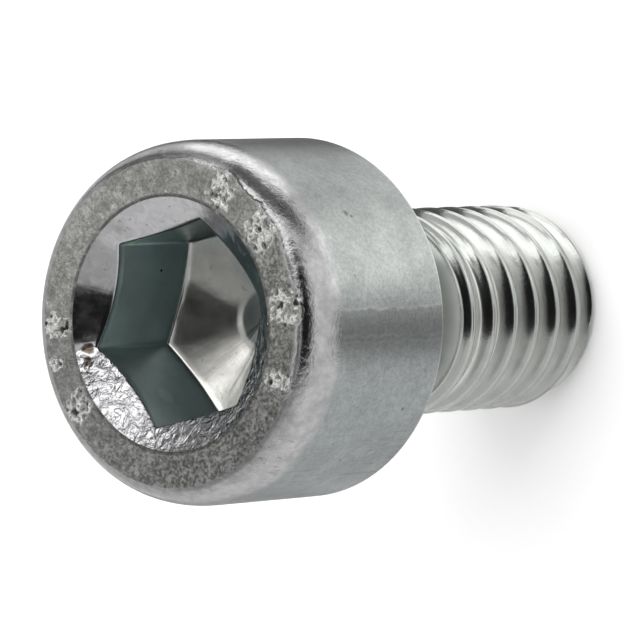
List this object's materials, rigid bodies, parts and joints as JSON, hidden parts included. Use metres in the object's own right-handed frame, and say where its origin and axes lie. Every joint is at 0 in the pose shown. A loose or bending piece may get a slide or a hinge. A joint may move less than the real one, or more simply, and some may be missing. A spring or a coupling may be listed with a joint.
{
  "type": "hex socket cap screw",
  "caption": "Short M6 cap screw with a cylindrical head, a countersunk hexagon socket and a rolled right-hand thread, standing on the flat end of its shank.",
  "frame": {"origin": "middle of the flat end of the shank, on the plane that the screw stands on", "axes": "+Z from the tip to the head along the screw's axis; +X through a corner of the socket"},
  "size_m": [0.01, 0.01, 0.0159],
  "materials": {
    "zinc_steel": "bright zinc plating over cold-forged steel, satin on the head's side and grainy on its face"
  },
  "bodies": {
    "root": {"cap_screw": "zinc_steel"}
  },
  "joints": []
}
